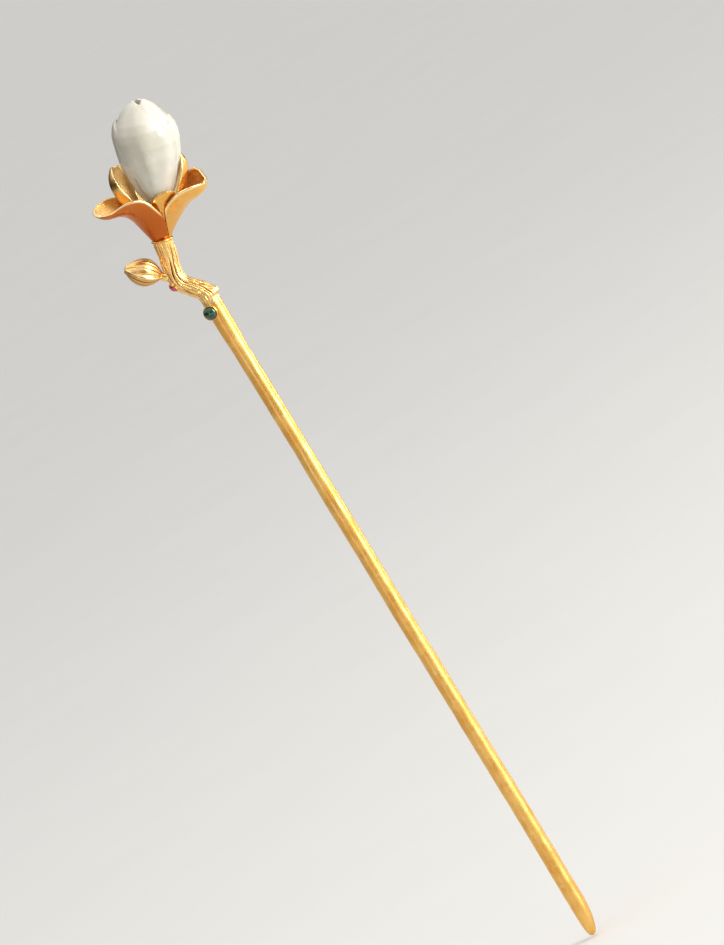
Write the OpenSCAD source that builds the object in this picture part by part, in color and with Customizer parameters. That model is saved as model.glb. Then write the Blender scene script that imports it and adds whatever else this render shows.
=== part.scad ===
// Flower hair stick: a round gilded shank, a cast branch, a six-petal gilded flower around a carved
// stone bud, a small side bud and two bezel-set cabochons.
// Millimetres, +Z up along the shank. The origin is the point of the shank, on its axis.

/* [Shank] */
// Diameter of the round shank that goes through the hair
shank_d = 3.0; // [2.6:0.1:3.4]
// Height of the shank's shoulder, where the branch is soldered on
shank_h = 130; // [110:1:150]
// Length of the rounded point
tip_l = 7; // [5:0.5:10]
// Length of the gentle swelling below the shoulder
swell_l = 10; // [6:1:14]

/* [Branch] */
// Diameter of the branch at its ends
branch_d = 3.4; // [3.2:0.1:3.8]
// How far the branch narrows between its ends
branch_waist = 0.2; // [0:0.05:0.25]
// Length of the shank's tenon inside the branch
tenon_l = 2.4; // [1.5:0.1:2.8]

/* [Flower] */
// Lean of the flower to the side, towards +X
flower_lean = 15; // [8:1:22]
// Nod of the flower towards the front, -Y
flower_nod = 6; // [0:1:12]
// Thickness of the petals
petal_t = 0.45; // [0.3:0.05:0.55]
// Widest diameter of the carved stone bud
carving_d = 11.3; // [10:0.1:11.6]
// Height of the carved stone bud
carving_h = 20; // [17:0.2:22]

/* [Side bud] */
// Length of the side bud
bud_l = 7; // [5:0.1:8]
// Thickness of the side bud
bud_d = 5.2; // [3.8:0.1:5.4]

/* [Stones] */
// Diameter of the green cabochon on the shank
green_d = 2.4; // [2:0.1:2.6]
// Diameter of the pink cabochon under the branch
pink_d = 1.6; // [1.2:0.1:1.8]
// Wall thickness of both bezels
bezel_t = 0.15; // [0.15:0.05:0.25]

/* [Hidden] */

GOLD = "#d9a441";
BARK_GOLD = "#e0b565";
WHITE_JADE = "#e6e4da";
GREEN = "#1d6b3a";
PINK = "#a3264f";

shank_r = shank_d / 2;
branch_r = branch_d / 2;
tenon_r = 0.8;          // tenon on the shank, and the socket for it in the branch
shoulder_l = 2.6;       // full-width stretch right under the shoulder
tip_steps = 10;         // facets along the rounded point
gap = 0.02;             // solder or cement line between a peg and its socket

// ---- branch: a bar bent twice, from the shoulder to the flower's neck ----
flower_dir = [
    sin(flower_lean) * cos(flower_nod), -sin(flower_nod), cos(flower_lean) * cos(flower_nod)
];
neck = [-1.75, -0.2, shank_h + 14.4];   // centre of the branch's top face
branch_path = [
    [0, 0, shank_h], [0, 0, shank_h + 1.6], [-0.45, 0, shank_h + 3.0], [-1.6, 0, shank_h + 4.4],
    [-2.8, 0, shank_h + 5.9], [-3.15, 0, shank_h + 7.7], [-2.8, 0, shank_h + 9.6],
    [-2.3, 0, shank_h + 11.4], neck
];
branch_steps = 34;      // rings along the branch
branch_sides = 40;
bark_grooves = 9;
groove_depth = 0.12;
knuckle = [1.0, 0, shank_h + 1.6];   // leaf scar on the outside of the lower bend
knuckle_r = [1.3, 0.75];             // its radius at the foot and at the crown
knuckle_h = 1.1;
knuckle_turn = 50;                   // it leans this far towards +X

// ---- flower ----
cup_r = 0.55;           // foot of the cup, on the neck
cup_top_r = 1.4;        // seat of the carved bud
cup_h = 4.8;
cup_shift = 1.7;        // the carved bud stands this far to +X of the neck's axis
post_r = 0.9;           // post under the cup, and the socket for it in the branch
post_l = 3.2;
collar_h = 0.5;
collar_r = 1.95;
peg_r = 0.6;            // peg that carries the carved bud
carving_lean = 1.5;     // the carved bud leans this much more than the flower
peg_low = 3.2;          // bottom of the peg, in the cup
peg_high = 11;          // top of the peg, in the carved bud
s_steps = 18;           // petal facets from foot to tip
t_steps = 10;           // petal facets from edge to edge
cupping = 75;           // half-angle of the arc across a petal

// Each station of a petal is the left edge, the keel and the right edge of its outer face, as seen
// from outside, from foot to tip, in the flower's frame: +Z along its axis, -Y to the front.
outer_left = [
    [[-1.0, 1.45, 0.1], [-1.35, -1.15, 0], [1.45, -1.0, 0.1]],
    [[-2.2, 2.2, 2.6], [-2.3, -1.6, 2.4], [1.6, -2.7, 3.5]],
    [[-3.3, 2.7, 4.8], [-3.2, -1.9, 4.2], [0.8, -3.7, 5.9]],
    [[-4.2, 3.0, 6.8], [-4.4, -2.1, 5.4], [-1.0, -4.4, 8.2]],
    [[-5.3, 2.7, 8.4], [-5.9, -2.2, 6.1], [-3.9, -5.2, 8.7]],
    [[-7.2, 1.6, 9.2], [-7.8, -2.2, 6.6], [-7.2, -4.9, 7.6]],
    [[-9.2, -0.1, 8.9], [-9.4, -2.1, 7.2], [-9.3, -3.4, 7.5]],
    [[-10.3, -1.3, 8.5], [-10.35, -1.9, 8.1], [-10.3, -2.5, 8.0]]
];
outer_right = [
    [[1.4, -0.75, 0.1], [1.75, 0.2, 0], [0.9, 1.5, 0.1]],
    [[1.6, -2.0, 3.3], [3.1, 0.1, 1.7], [1.7, 2.1, 2.2]],
    [[2.3, -3.2, 5.7], [4.7, 0, 3.3], [3.3, 3.0, 4.4]],
    [[4.9, -4.3, 7.6], [6.4, 0, 4.6], [5.0, 3.7, 6.7]],
    [[7.9, -3.7, 8.1], [8.2, 0, 5.6], [6.9, 4.0, 9.2]],
    [[10.0, -2.2, 8.0], [9.9, 0, 6.9], [9.3, 2.3, 10.1]],
    [[10.7, -0.5, 8.5], [10.6, 0, 8.5], [10.5, 0.5, 8.9]]
];
outer_back = [
    [[0.8, 1.55, 0.1], [-0.3, 1.75, 0], [-0.9, 1.5, 0.1]],
    [[2.0, 3.3, 2.6], [-0.2, 3.6, 2.4], [-2.0, 2.9, 2.6]],
    [[3.0, 4.8, 5.0], [-0.3, 5.1, 4.4], [-3.1, 4.2, 4.9]],
    [[3.0, 7.0, 7.2], [-0.4, 7.3, 5.9], [-3.4, 6.2, 6.8]],
    [[2.0, 9.0, 8.2], [-0.4, 9.4, 7.0], [-2.7, 8.6, 7.8]],
    [[-0.1, 10.6, 8.4], [-0.5, 10.7, 8.0], [-1.1, 10.5, 8.2]]
];
inner_front = [
    [[0.5, -1.4, 2.4], [0.95, -1.45, 2.4], [1.4, -1.35, 2.4]],
    [[0.4, -1.45, 3.3], [1.5, -1.78, 3.6], [2.7, -1.2, 3.8]],
    [[0.3, -2.0, 5.1], [1.9, -2.6, 5.7], [3.6, -1.9, 5.8]],
    [[0.2, -2.9, 6.9], [2.2, -3.6, 7.3], [4.7, -2.95, 7.5]],
    [[1.0, -3.5, 8.0], [2.5, -4.0, 8.2], [4.1, -3.6, 8.3]],
    [[2.0, -3.8, 8.5], [2.5, -4.0, 8.5], [3.0, -3.8, 8.6]]
];
inner_left = [
    [[-0.4, 1.1, 1.2], [-1.0, 0, 1.2], [-0.3, -1.2, 1.4]],
    [[-1.6, 2.8, 4.6], [-2.9, 0.3, 4.3], [-1.6, -2.0, 5.2]],
    [[-2.2, 4.2, 7.9], [-4.6, 0.5, 6.9], [-2.9, -2.5, 8.4]],
    [[-2.7, 4.9, 10.8], [-5.6, 0.7, 9.2], [-4.2, -2.6, 11.1]],
    [[-3.3, 4.4, 13.0], [-6.0, 0.8, 11.1], [-4.8, -2.0, 13.2]],
    [[-3.8, 3.0, 14.2], [-5.8, 0.8, 13.0], [-4.8, -1.0, 14.4]],
    [[-4.4, 1.3, 14.7], [-5.0, 0.6, 14.6], [-4.6, -0.2, 14.9]]
];
inner_right = [
    [[2.3, -0.6, 2.6], [2.5, 0.2, 2.5], [1.9, 1.1, 2.3]],
    [[3.2, -1.4, 4.9], [4.1, 0.8, 4.9], [2.8, 2.8, 4.9]],
    [[5.05, -1.8, 7.5], [6.2, 1.4, 7.5], [4.4, 4.4, 7.8]],
    [[6.3, -1.9, 10.1], [7.7, 1.8, 9.9], [5.5, 5.1, 10.3]],
    [[7.1, -1.1, 12.3], [8.1, 1.9, 11.8], [6.5, 4.7, 12.0]],
    [[7.3, -0.1, 13.6], [7.6, 1.8, 13.0], [6.9, 3.5, 13.1]],
    [[7.3, 0.6, 14.0], [7.3, 1.5, 13.9], [7.1, 2.3, 13.7]]
];

// ---- side bud ----
bud_foot = [-4.25, -0.3, shank_h + 8.0];   // where the bud's stalk leaves the branch
bud_turn = -49;                           // its lean towards -X
bud_roll = 6;                             // its lean towards the front
bud_base = 0.8;                           // the bud starts this far up its stalk
stalk_r = 0.75;
stalk_l = 1.4;
bud_pin_r = 0.5;        // pin under the stalk, and the hole for it in the branch
bud_pin_l = 1.1;
scale_t = 0.35;
scale_split = 0.6;      // the scales part this far below the bud's axis

// ---- stones ----
green_at = [-0.62, 0, shank_h - 1.05];
green_turn = -20;       // the green bezel faces the front, turned this far to -X
green_seat = 1.45;      // the green stone's seat stands this far out
green_floor = 1;        // solid floor of the green bezel, trimmed to fit the shank
green_wall = 0.35;
green_girdle = 0.3;
green_dome = 0.8;
pink_at = [-3.1, 0.1, shank_h + 6.7];
pink_dir = [25, -62];   // the pink bezel's droop and its turn to -X from the front
pink_seat = 1.45;       // the pink stone's seat stands this far out
pink_floor = 0.6;
pink_wall = 0.45;
pink_girdle = 0.3;
pink_dome = 0.5;

function unit(v) = v / norm(v);
function clamp(x, lo, hi) = min(max(x, lo), hi);

// A smooth curve through the points p, at u from 0 to len(p) - 1.
function through(p, u) =
    let (n = len(p), i = clamp(floor(u), 0, n - 2), f = u - i,
         b = p[i], c = p[i + 1],
         a = i > 0 ? p[i - 1] : 2 * b - c,
         d = i < n - 2 ? p[i + 2] : 2 * c - b)
    b + f * (c - a) / 2 + f * f * (2 * a - 5 * b + 4 * c - d) / 2
      + f * f * f * (3 * b - a - 3 * c + d) / 2;

function heading(p, u) = unit(through(p, u + 0.01) - through(p, u - 0.01));

// Faces of a closed skin over rings of n points each, with both ends capped.
function skin_faces(rings, n) = concat(
    [[for (j = [0 : n - 1]) j]],
    [for (i = [0 : rings - 2], j = [0 : n - 1])
        let (k = (j + 1) % n)
        each [[i * n + j, (i + 1) * n + j, (i + 1) * n + k], [i * n + j, (i + 1) * n + k, i * n + k]]],
    [[for (j = [n - 1 : -1 : 0]) (rings - 1) * n + j]]
);

// ---------------------------------------------------------------- shank

module shank() {
    tip = [for (i = [0 : tip_steps])
        let (a = 90 * i / tip_steps) [shank_r * sin(a), tip_l * (1 - cos(a))]];
    color(GOLD) rotate_extrude($fn = 72) polygon(concat(
        tip,
        [[shank_r, shank_h - swell_l], [branch_r, shank_h - shoulder_l], [branch_r, shank_h],
         [tenon_r, shank_h], [tenon_r, shank_h + tenon_l], [0, shank_h + tenon_l]]
    ));
}

// ---------------------------------------------------------------- branch

function branch_radius(u) = branch_r - branch_waist * sin(180 * u / (len(branch_path) - 1));

// The bark's grooves run along the branch, turn a little round it and fade out at its foot.
function bark(u, a) = groove_depth * clamp(u, 0, 1) * (1 - sin(a * bark_grooves / 2 + 20 * u) ^ 2);

module branch_bar() {
    last = len(branch_path) - 1;
    points = [for (i = [0 : branch_steps])
        let (u = last * i / branch_steps,
             way = i == branch_steps ? flower_dir : heading(branch_path, max(u, 0.01)),
             side = unit(cross([0, 1, 0], way)),
             front = cross(way, side))
        for (j = [0 : branch_sides - 1])
            let (a = 360 * j / branch_sides)
            through(branch_path, u)
                + (branch_radius(u) - bark(u, a)) * (cos(a) * side + sin(a) * front)];
    polyhedron(points, skin_faces(branch_steps + 1, branch_sides), convexity = 6);
}

module in_flower() {
    translate(neck) rotate([flower_nod, flower_lean, 0]) children();
}

module in_bud() {
    translate(bud_foot) rotate([bud_roll, bud_turn, 0]) children();
}

module in_green() {
    translate(green_at) rotate([0, 0, green_turn]) rotate([90, 0, 0])
        translate([0, 0, green_seat]) children();
}

module in_pink() {
    translate(pink_at) rotate([0, 0, pink_dir[1]]) rotate([90 + pink_dir[0], 0, 0])
        translate([0, 0, pink_seat]) children();
}

module branch() {
    color(BARK_GOLD) difference() {
        union() {
            branch_bar();
            translate(knuckle) rotate([0, knuckle_turn, 0])
                cylinder(r1 = knuckle_r[0], r2 = knuckle_r[1], h = knuckle_h, $fn = 48);
        }
        translate([0, 0, shank_h - 1]) cylinder(r = tenon_r, h = tenon_l + 1, $fn = 48);
        in_flower() translate([0, 0, -post_l]) cylinder(r = post_r, h = post_l + 1, $fn = 48);
        in_flower() translate([0, 0, -collar_h]) cylinder(r = branch_d, h = 3, $fn = 32);
        in_bud() translate([0, 0, -bud_pin_l - 0.1]) cylinder(r = bud_pin_r, h = 3, $fn = 32);
        in_bud() cylinder(r = stalk_r, h = 3, $fn = 40);
        in_pink() translate([0, 0, -pink_floor]) cylinder(r = pink_d / 2 + bezel_t, h = 3, $fn = 48);
    }
}

// ---------------------------------------------------------------- flower

module neck_collar() {
    color(GOLD) in_flower() difference() {
        translate([0, 0, -collar_h]) cylinder(r = collar_r, h = collar_h, $fn = 64);
        translate([0, 0, -2]) cylinder(r = post_r, h = 3, $fn = 48);
    }
}

// The cup leans from the neck's axis to the carved bud's axis.
module cup_body() {
    hull() {
        translate([0, 0, 0.1]) cylinder(r = cup_r, h = 0.2, $fn = 32);
        translate([cup_shift, 0, cup_h - 0.4]) cylinder(r = cup_top_r, h = 0.4, $fn = 32);
    }
}

module flower_cup() {
    color(GOLD) in_flower() difference() {
        union() {
            translate([0, 0, -post_l]) cylinder(r = post_r, h = post_l + 0.2, $fn = 48);
            cup_body();
        }
        translate([cup_shift, 0, peg_low]) cylinder(r = peg_r, h = 6, $fn = 32);
    }
}

module carving_peg() {
    color(GOLD) in_flower() translate([cup_shift, 0, peg_low]) difference() {
        cylinder(r = peg_r, h = peg_high - peg_low, $fn = 32);
        for (z = [2.6 : 1.1 : 7]) translate([0, 0, z]) difference() {
            cylinder(r = 1, h = 0.3, $fn = 32);
            translate([0, 0, -1]) cylinder(r = peg_r - 0.12, h = 3, $fn = 32);
        }
    }
}

// Half-section of the carved bud, as shares of its widest radius, from seat to top.
carving_rows = [
    [0.28, 0], [0.37, 0.06], [0.52, 0.13], [0.64, 0.21], [0.79, 0.33], [0.92, 0.46], [1.0, 0.60],
    [0.97, 0.72], [0.85, 0.83], [0.62, 0.93], [0.34, 0.985], [0.03, 1.0]
];

module carved_bud() {
    rings = 30;
    sides = 36;
    last = len(carving_rows) - 1;
    points = [for (i = [0 : rings])
        let (q = through(carving_rows, last * i / rings))
        for (j = [0 : sides - 1])
            let (a = 360 * j / sides, lobe = 1 + 0.03 * cos(3 * a + 60) * sin(180 * q[1]))
            [carving_d / 2 * q[0] * lobe * cos(a), carving_d / 2 * q[0] * lobe * sin(a),
             carving_h * q[1]]];
    color(WHITE_JADE) in_flower() translate([cup_shift, 0, cup_h]) difference() {
        rotate([0, carving_lean, 0]) polyhedron(points, skin_faces(rings + 1, sides), convexity = 4);
        translate([0, 0, -1]) cylinder(r = peg_r + gap, h = peg_high - cup_h + 1 + gap, $fn = 32);
        translate([0, 0, -1]) cylinder(r = carving_d / 2, h = 1, $fn = 32);
    }
}

// A point on a petal's outer face, s from foot (0) to tip (1), t from edge (-1) to edge (1).
function petal_point(stations, s, t) =
    let (q = through(stations, s * (len(stations) - 1)),
         across = (q[2] - q[0]) / 2,
         rise = (q[2] + q[0]) / 2 - q[1],
         a = cupping * t)
    q[1] + across * sin(a) / sin(cupping) + rise * (1 - cos(a)) / (1 - cos(cupping));

function petal_normal(stations, s, t) =
    let (s0 = max(s - 0.01, 0), s1 = min(s + 0.01, 1))
    unit(cross(petal_point(stations, s, t + 0.05) - petal_point(stations, s, t - 0.05),
               petal_point(stations, s1, t) - petal_point(stations, s0, t)));

// A sheet of the petal's thickness behind its outer face.
module petal(stations) {
    edge = [for (j = [0 : t_steps]) 2 * j / t_steps - 1];
    points = [for (i = [0 : s_steps])
        let (s = i / s_steps)
        each concat(
            [for (t = edge) petal_point(stations, s, t)],
            [for (t = -edge) petal_point(stations, s, t) - petal_t * petal_normal(stations, s, t)]
        )];
    in_flower() polyhedron(points, skin_faces(s_steps + 1, 2 * (t_steps + 1)), convexity = 6);
}

module outer_petal_left() { color(GOLD) petal(outer_left); }
module outer_petal_right() { color(GOLD) petal(outer_right); }
module outer_petal_back() { color(GOLD) petal(outer_back); }
module inner_petal_front() { color(GOLD) petal(inner_front); }
module inner_petal_left() { color(GOLD) petal(inner_left); }
module inner_petal_right() { color(GOLD) petal(inner_right); }

// ---------------------------------------------------------------- side bud

function egg(u, d, l) = [d / 2 * sin(180 * u) * (0.92 + 0.16 * u), l * (1 - cos(180 * u)) / 2];

module egg_half(d, l) {
    rotate_extrude($fn = 48) polygon([for (i = [0 : 16]) egg(i / 16, d, l)]);
}

module side_bud_core() {
    color(BARK_GOLD) in_bud() union() {
        translate([0, 0, -bud_pin_l]) cylinder(r = bud_pin_r, h = bud_pin_l + 0.3, $fn = 32);
        cylinder(r = stalk_r, h = stalk_l, $fn = 40);
        translate([0, 0, bud_base + scale_t]) egg_half(bud_d - 2 * scale_t, bud_l - 2 * scale_t);
    }
}

// Shell between the core and the bud's outer skin, cut to one side of a plane below the bud's axis.
module scale_shell(upper) {
    in_bud() difference() {
        translate([0, 0, bud_base]) egg_half(bud_d, bud_l);
        translate([0, 0, bud_base + scale_t]) egg_half(bud_d - 2 * scale_t, bud_l - 2 * scale_t);
        translate([0, 0, -1]) cylinder(r = stalk_r, h = stalk_l + 1, $fn = 40);
        translate([upper ? -10 - scale_split : -scale_split, -5, -2]) cube([10, 10, 14]);
    }
}

module side_bud_upper_scale() { color(BARK_GOLD) scale_shell(true); }
module side_bud_lower_scale() { color(BARK_GOLD) scale_shell(false); }

// ---------------------------------------------------------------- stones

// Cup with a thin wall and a floor, its open face towards +Z.
module bezel(d, wall_h, floor_t) {
    difference() {
        cylinder(r = d / 2 + bezel_t, h = floor_t + wall_h, $fn = 64);
        translate([0, 0, floor_t]) cylinder(r = d / 2, h = wall_h + 1, $fn = 64);
    }
}

// Low dome on a short straight girdle.
module cabochon(d, girdle, dome) {
    r = (d * d / 4 + dome * dome) / (2 * dome);
    rotate_extrude($fn = 64) polygon(concat(
        [[0, 0], [d / 2, 0]],
        [for (i = [0 : 10]) let (a = asin(d / 2 / r) * (1 - i / 10))
            [r * sin(a), girdle + dome - r + r * cos(a)]]
    ));
}

module green_bezel() {
    color(GOLD) difference() {
        in_green() translate([0, 0, -green_floor]) bezel(green_d, green_wall, green_floor);
        translate([0, 0, shank_h - swell_l]) cylinder(r = branch_r, h = swell_l + 3, $fn = 64);
    }
}

module green_stone() {
    color(GREEN) in_green() cabochon(green_d - 2 * gap, green_girdle, green_dome);
}

module pink_bezel() {
    color(GOLD) in_pink() translate([0, 0, -pink_floor]) bezel(pink_d, pink_wall, pink_floor);
}

module pink_stone() {
    color(PINK) in_pink() cabochon(pink_d - 2 * gap, pink_girdle, pink_dome);
}

shank();
branch();
neck_collar();
flower_cup();
carving_peg();
carved_bud();
outer_petal_left();
outer_petal_right();
outer_petal_back();
inner_petal_front();
inner_petal_left();
inner_petal_right();
side_bud_core();
side_bud_upper_scale();
side_bud_lower_scale();
green_bezel();
green_stone();
pink_bezel();
pink_stone();
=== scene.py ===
import math

import bmesh
import bpy
from mathutils import Matrix, Vector, noise


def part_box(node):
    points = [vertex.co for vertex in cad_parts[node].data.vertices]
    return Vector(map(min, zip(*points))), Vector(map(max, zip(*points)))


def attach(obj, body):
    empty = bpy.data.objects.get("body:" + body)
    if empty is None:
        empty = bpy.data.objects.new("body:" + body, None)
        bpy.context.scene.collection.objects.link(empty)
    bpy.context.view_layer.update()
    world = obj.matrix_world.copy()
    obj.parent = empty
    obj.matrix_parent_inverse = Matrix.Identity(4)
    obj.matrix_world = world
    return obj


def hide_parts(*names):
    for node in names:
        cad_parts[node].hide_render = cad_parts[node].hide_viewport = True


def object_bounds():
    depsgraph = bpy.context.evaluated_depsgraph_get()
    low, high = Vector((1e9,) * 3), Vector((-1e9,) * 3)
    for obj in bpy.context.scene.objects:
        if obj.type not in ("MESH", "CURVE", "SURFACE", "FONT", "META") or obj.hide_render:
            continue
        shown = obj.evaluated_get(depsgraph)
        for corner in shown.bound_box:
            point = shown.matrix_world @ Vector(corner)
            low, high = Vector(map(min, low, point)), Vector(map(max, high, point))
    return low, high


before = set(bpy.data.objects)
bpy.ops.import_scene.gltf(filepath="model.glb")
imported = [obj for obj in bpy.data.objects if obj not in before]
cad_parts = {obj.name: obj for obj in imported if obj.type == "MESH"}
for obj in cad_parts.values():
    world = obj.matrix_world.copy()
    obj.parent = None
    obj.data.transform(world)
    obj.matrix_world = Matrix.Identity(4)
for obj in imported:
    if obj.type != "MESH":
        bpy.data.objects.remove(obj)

cad_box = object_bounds()

# ---------------------------------------------------------------- shank
# The stick that goes through the hair: a silver rod, hammered and filed by hand to a blunt point,
# thickly gilded and left satin. The tenon on its top is soldered into the branch.

MM = 0.001
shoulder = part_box("branch")[0].z / MM
tenon_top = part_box("shank")[1].z / MM
tenon_r = 0.8
shank_r = 1.5
shoulder_r = 1.7
tip_l = 6.5
tip_steps = 14
rod_steps = 160
swell_from = shoulder - 11
swell_to = shoulder - 2.5
even_from = shoulder - 9    # the hand's unevenness fades out from here up to the shoulder
even_to = shoulder - 1
breath_share = 0.035        # share by which the radius swells and shrinks along the rod
ripple_share = 0.02
file_depth = 0.05
sway_by = 0.10
tip_bend = 0.6              # the point leans this far towards -X
tip_bend_l = 8
satin_scratch = 0.018


class Value:
    """A number that varies over a surface, written with plain arithmetic."""

    def __init__(self, finish, socket):
        self.finish = finish
        self.socket = socket

    def math(self, operation, a, b):
        return self.finish.node("ShaderNodeMath", {"operation": operation}, {0: a, 1: b})

    def __add__(self, other):
        return self.math("ADD", self, other)

    def __sub__(self, other):
        return self.math("SUBTRACT", self, other)

    def __rsub__(self, other):
        return self.math("SUBTRACT", other, self)

    def __mul__(self, other):
        return self.math("MULTIPLY", self, other)

    __radd__ = __add__
    __rmul__ = __mul__

    def between(self, low, high):
        """0 below low and 1 above high, with a soft step from one to the other."""
        return self.finish.node(
            "ShaderNodeMapRange", {"interpolation_type": "SMOOTHSTEP"},
            {"Value": self, "From Min": low, "From Max": high})


class Finish:
    """A material. Its patterns are measured in millimetres on the piece."""

    def __init__(self, name, **constants):
        self.material = bpy.data.materials.new(name)
        self.material.use_nodes = True
        self.tree = self.material.node_tree
        self.shader = self.tree.nodes["Principled BSDF"]
        self.set(**constants)
        place = self.node("ShaderNodeTexCoord", output="Object")
        self.place = self.node(
            "ShaderNodeMapping", {}, {"Vector": place, "Scale": (1 / MM, 1 / MM, 1 / MM)})

    def node(self, kind, settings=(), sockets=(), output=0):
        made = self.tree.nodes.new(kind)
        for name, value in dict(settings).items():
            setattr(made, name, value)
        for name, value in dict(sockets).items():
            self.plug(made.inputs[name], value)
        return Value(self, made.outputs[output])

    def plug(self, socket, value):
        if isinstance(value, Value):
            self.tree.links.new(value.socket, socket)
        else:
            socket.default_value = value

    def set(self, **inputs):
        for name, value in inputs.items():
            self.plug(self.shader.inputs[name.replace("_", " ")], value)

    def grain(self, per_mm, detail=3.0, stretch=(1, 1, 1)):
        """Noise from 0 to 1, with about per_mm grains to the millimetre."""
        place = self.node("ShaderNodeMapping", {}, {"Vector": self.place, "Scale": stretch})
        return self.node(
            "ShaderNodeTexNoise", {}, {"Vector": place, "Scale": per_mm, "Detail": detail})

    def mark(self, name):
        """A value that the piece's mesh carries."""
        return self.node("ShaderNodeAttribute", {"attribute_name": name}, output="Fac")

    def mix(self, factor, a, b):
        return self.node(
            "ShaderNodeMix", {"data_type": "RGBA"}, {0: factor, 6: a, 7: b}, output=2)

    def relief(self, height, depth):
        """Sets the surface's relief, where a height of 1 stands depth millimetres high."""
        self.set(Normal=self.node("ShaderNodeBump", {}, {"Height": height, "Distance": depth * MM}))


GILT = (0.90, 0.52, 0.13, 1)
GILT_DEEP = (0.82, 0.40, 0.07, 1)
# The red gold below is painted shade, laid on the petals' outsides.
GILT_RED_SHADE = (0.50, 0.115, 0.02, 1)
GILT_PALE = (1.0, 0.77, 0.40, 1)
# The dark red-brown below is patina and painted shade in the grooves, and painted shade on the
# bud's lower scale and core.
GILT_SHADE = (0.26, 0.08, 0.014, 1)


def gilt_tone(finish):
    """The gilding's colour: soft clouds of deeper gold, and pale spots where it is worn."""
    worn = finish.grain(0.9, 5.0).between(0.54, 0.76)
    tone = finish.mix(finish.grain(0.35, 2.0).between(0.35, 0.7), GILT, GILT_DEEP)
    return finish.mix(worn * 0.4, tone, GILT_PALE)


def satin_gilt(name, roughness=0.31, stretch=(1, 1, 0.12)):
    """Brushed gilding, its fine scratches drawn out along the axis where stretch is small."""
    finish = Finish(name, Metallic=1.0)
    brushed = finish.grain(5.0, 4.0, stretch)
    shine = brushed.between(0.3, 0.75)
    finish.set(Base_Color=finish.mix(shine * 0.22, gilt_tone(finish), GILT_PALE))
    finish.set(Roughness=brushed * 0.12 + finish.grain(0.35, 2.0) * 0.08 + (roughness - 0.10))
    finish.relief(brushed * 0.5 + finish.grain(1.1, 2.0) * 0.7, satin_scratch)
    return finish


def turned(profile, sides):
    """A closed skin: a half-section of (radius, height) points, spun once round Z."""
    shape = bmesh.new()
    corners = [shape.verts.new((r, 0, z)) for r, z in profile]
    edges = [shape.edges.new(pair) for pair in zip(corners, corners[1:])]
    bmesh.ops.spin(shape, geom=corners + edges, axis=(0, 0, 1), cent=(0, 0, 0),
                   angle=2 * math.pi, steps=sides, use_merge=True)
    bmesh.ops.remove_doubles(shape, verts=shape.verts, dist=1e-5)
    bmesh.ops.recalc_face_normals(shape, faces=shape.faces)
    return shape


def piece(name, shape, finish, slot, *nodes, levels=0):
    """Makes a shape, in millimetres, the finished piece that stands for CAD nodes."""
    bmesh.ops.scale(shape, vec=(MM, MM, MM), verts=shape.verts)
    mesh = bpy.data.meshes.new(name)
    shape.to_mesh(mesh)
    shape.free()
    mesh.shade_smooth()
    if not levels:
        mesh.set_sharp_from_angle(angle=math.radians(50))
    mesh.materials.append(finish.material)
    made = bpy.data.objects.new(name, mesh)
    bpy.context.collection.objects.link(made)
    if levels:
        rounding = made.modifiers.new("rounding", "SUBSURF")
        rounding.levels = levels
        rounding.render_levels = levels
    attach(made, "root")
    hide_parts(*nodes)
    return made


def soft_step(low, high, x):
    """0 below low and 1 above high, with a soft step from one to the other."""
    share = min(max((x - low) / (high - low), 0), 1)
    return share * share * (3 - 2 * share)


def rough(x, y, z):
    """Smooth unevenness, between about -1 and 1, that depends only on the place."""
    return noise.noise(Vector((x, y, z)))


def shank_shape():
    """The radius breathes and the axis sways a little, as on a rod drawn and filed by hand."""
    turn = [math.pi / 2 * i / tip_steps for i in range(tip_steps + 1)]
    profile = [(shank_r * math.sin(a) ** 0.8, tip_l * (1 - math.cos(a))) for a in turn]
    for i in range(1, rod_steps + 1):
        z = tip_l + (shoulder - tip_l) * i / rod_steps
        swell = soft_step(swell_from, swell_to, z)
        profile.append((shank_r + (shoulder_r - shank_r) * swell, z))
    profile += [(tenon_r, shoulder), (tenon_r, tenon_top), (0, tenon_top)]
    shape = turned(profile, 64)
    for corner in shape.verts:
        x, y, z = corner.co
        free = 1 - soft_step(even_from, even_to, z)
        breath = breath_share * rough(0, 0, z / 7) + ripple_share * rough(5, 0, z / 2.6)
        breath = 1 + free * breath
        filed = free * file_depth * rough(x / 1.3, y / 1.3, z / 3.5)
        bend = tip_bend * max(0, 1 - z / tip_bend_l) ** 2
        sway = free * sway_by * rough(9, 3, z / 19) * min(z / 5, 1)
        corner.co = Vector((x * breath + filed * x / shank_r + sway - bend,
                            y * breath + filed * y / shank_r, z))
    return shape


shank_finish = satin_gilt("satin gilding on the shank")
piece("shank_rod", shank_shape(), shank_finish, "satin_gilt", "shank")

# ---------------------------------------------------------------- branch
# The twig between the stick and the flower: a solid cast bar bent twice, with bark grooves chased
# along it and a leaf scar on the lower bend. The stick's tenon is soldered into its foot.

neck = Vector((-1.75, -0.2, shoulder + 14.4))
flower_lean = math.radians(15)
flower_nod = math.radians(6)
in_flower = (Matrix.Translation(neck) @ Matrix.Rotation(flower_lean, 4, "Y")
             @ Matrix.Rotation(flower_nod, 4, "X"))
flower_way = in_flower.to_3x3() @ Vector((0, 0, 1))
collar_h = 0.5
branch_path = [Vector((x, y, shoulder + z)) for x, y, z in (
    (0, 0, 0), (0, 0, 1.6), (-0.45, 0, 3.0), (-1.6, 0, 4.4),
    (-2.8, 0, 5.9), (-3.15, 0, 7.7), (-2.8, 0, 9.6), (-2.3, 0, 11.4))]
branch_path.append(neck - flower_way * collar_h * 0.6)
branch_waist = 0.2
branch_rings = 170
branch_sides = 150
main_grooves = 11
main_width = 3.6            # a groove's half-width, in degrees round the branch
main_depth = 0.24
fine_grooves = 23
fine_width = 2.4
fine_depth = 0.11
groove_wander = 14
darkest_cut = 0.26          # a groove this deep is darkest
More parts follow.
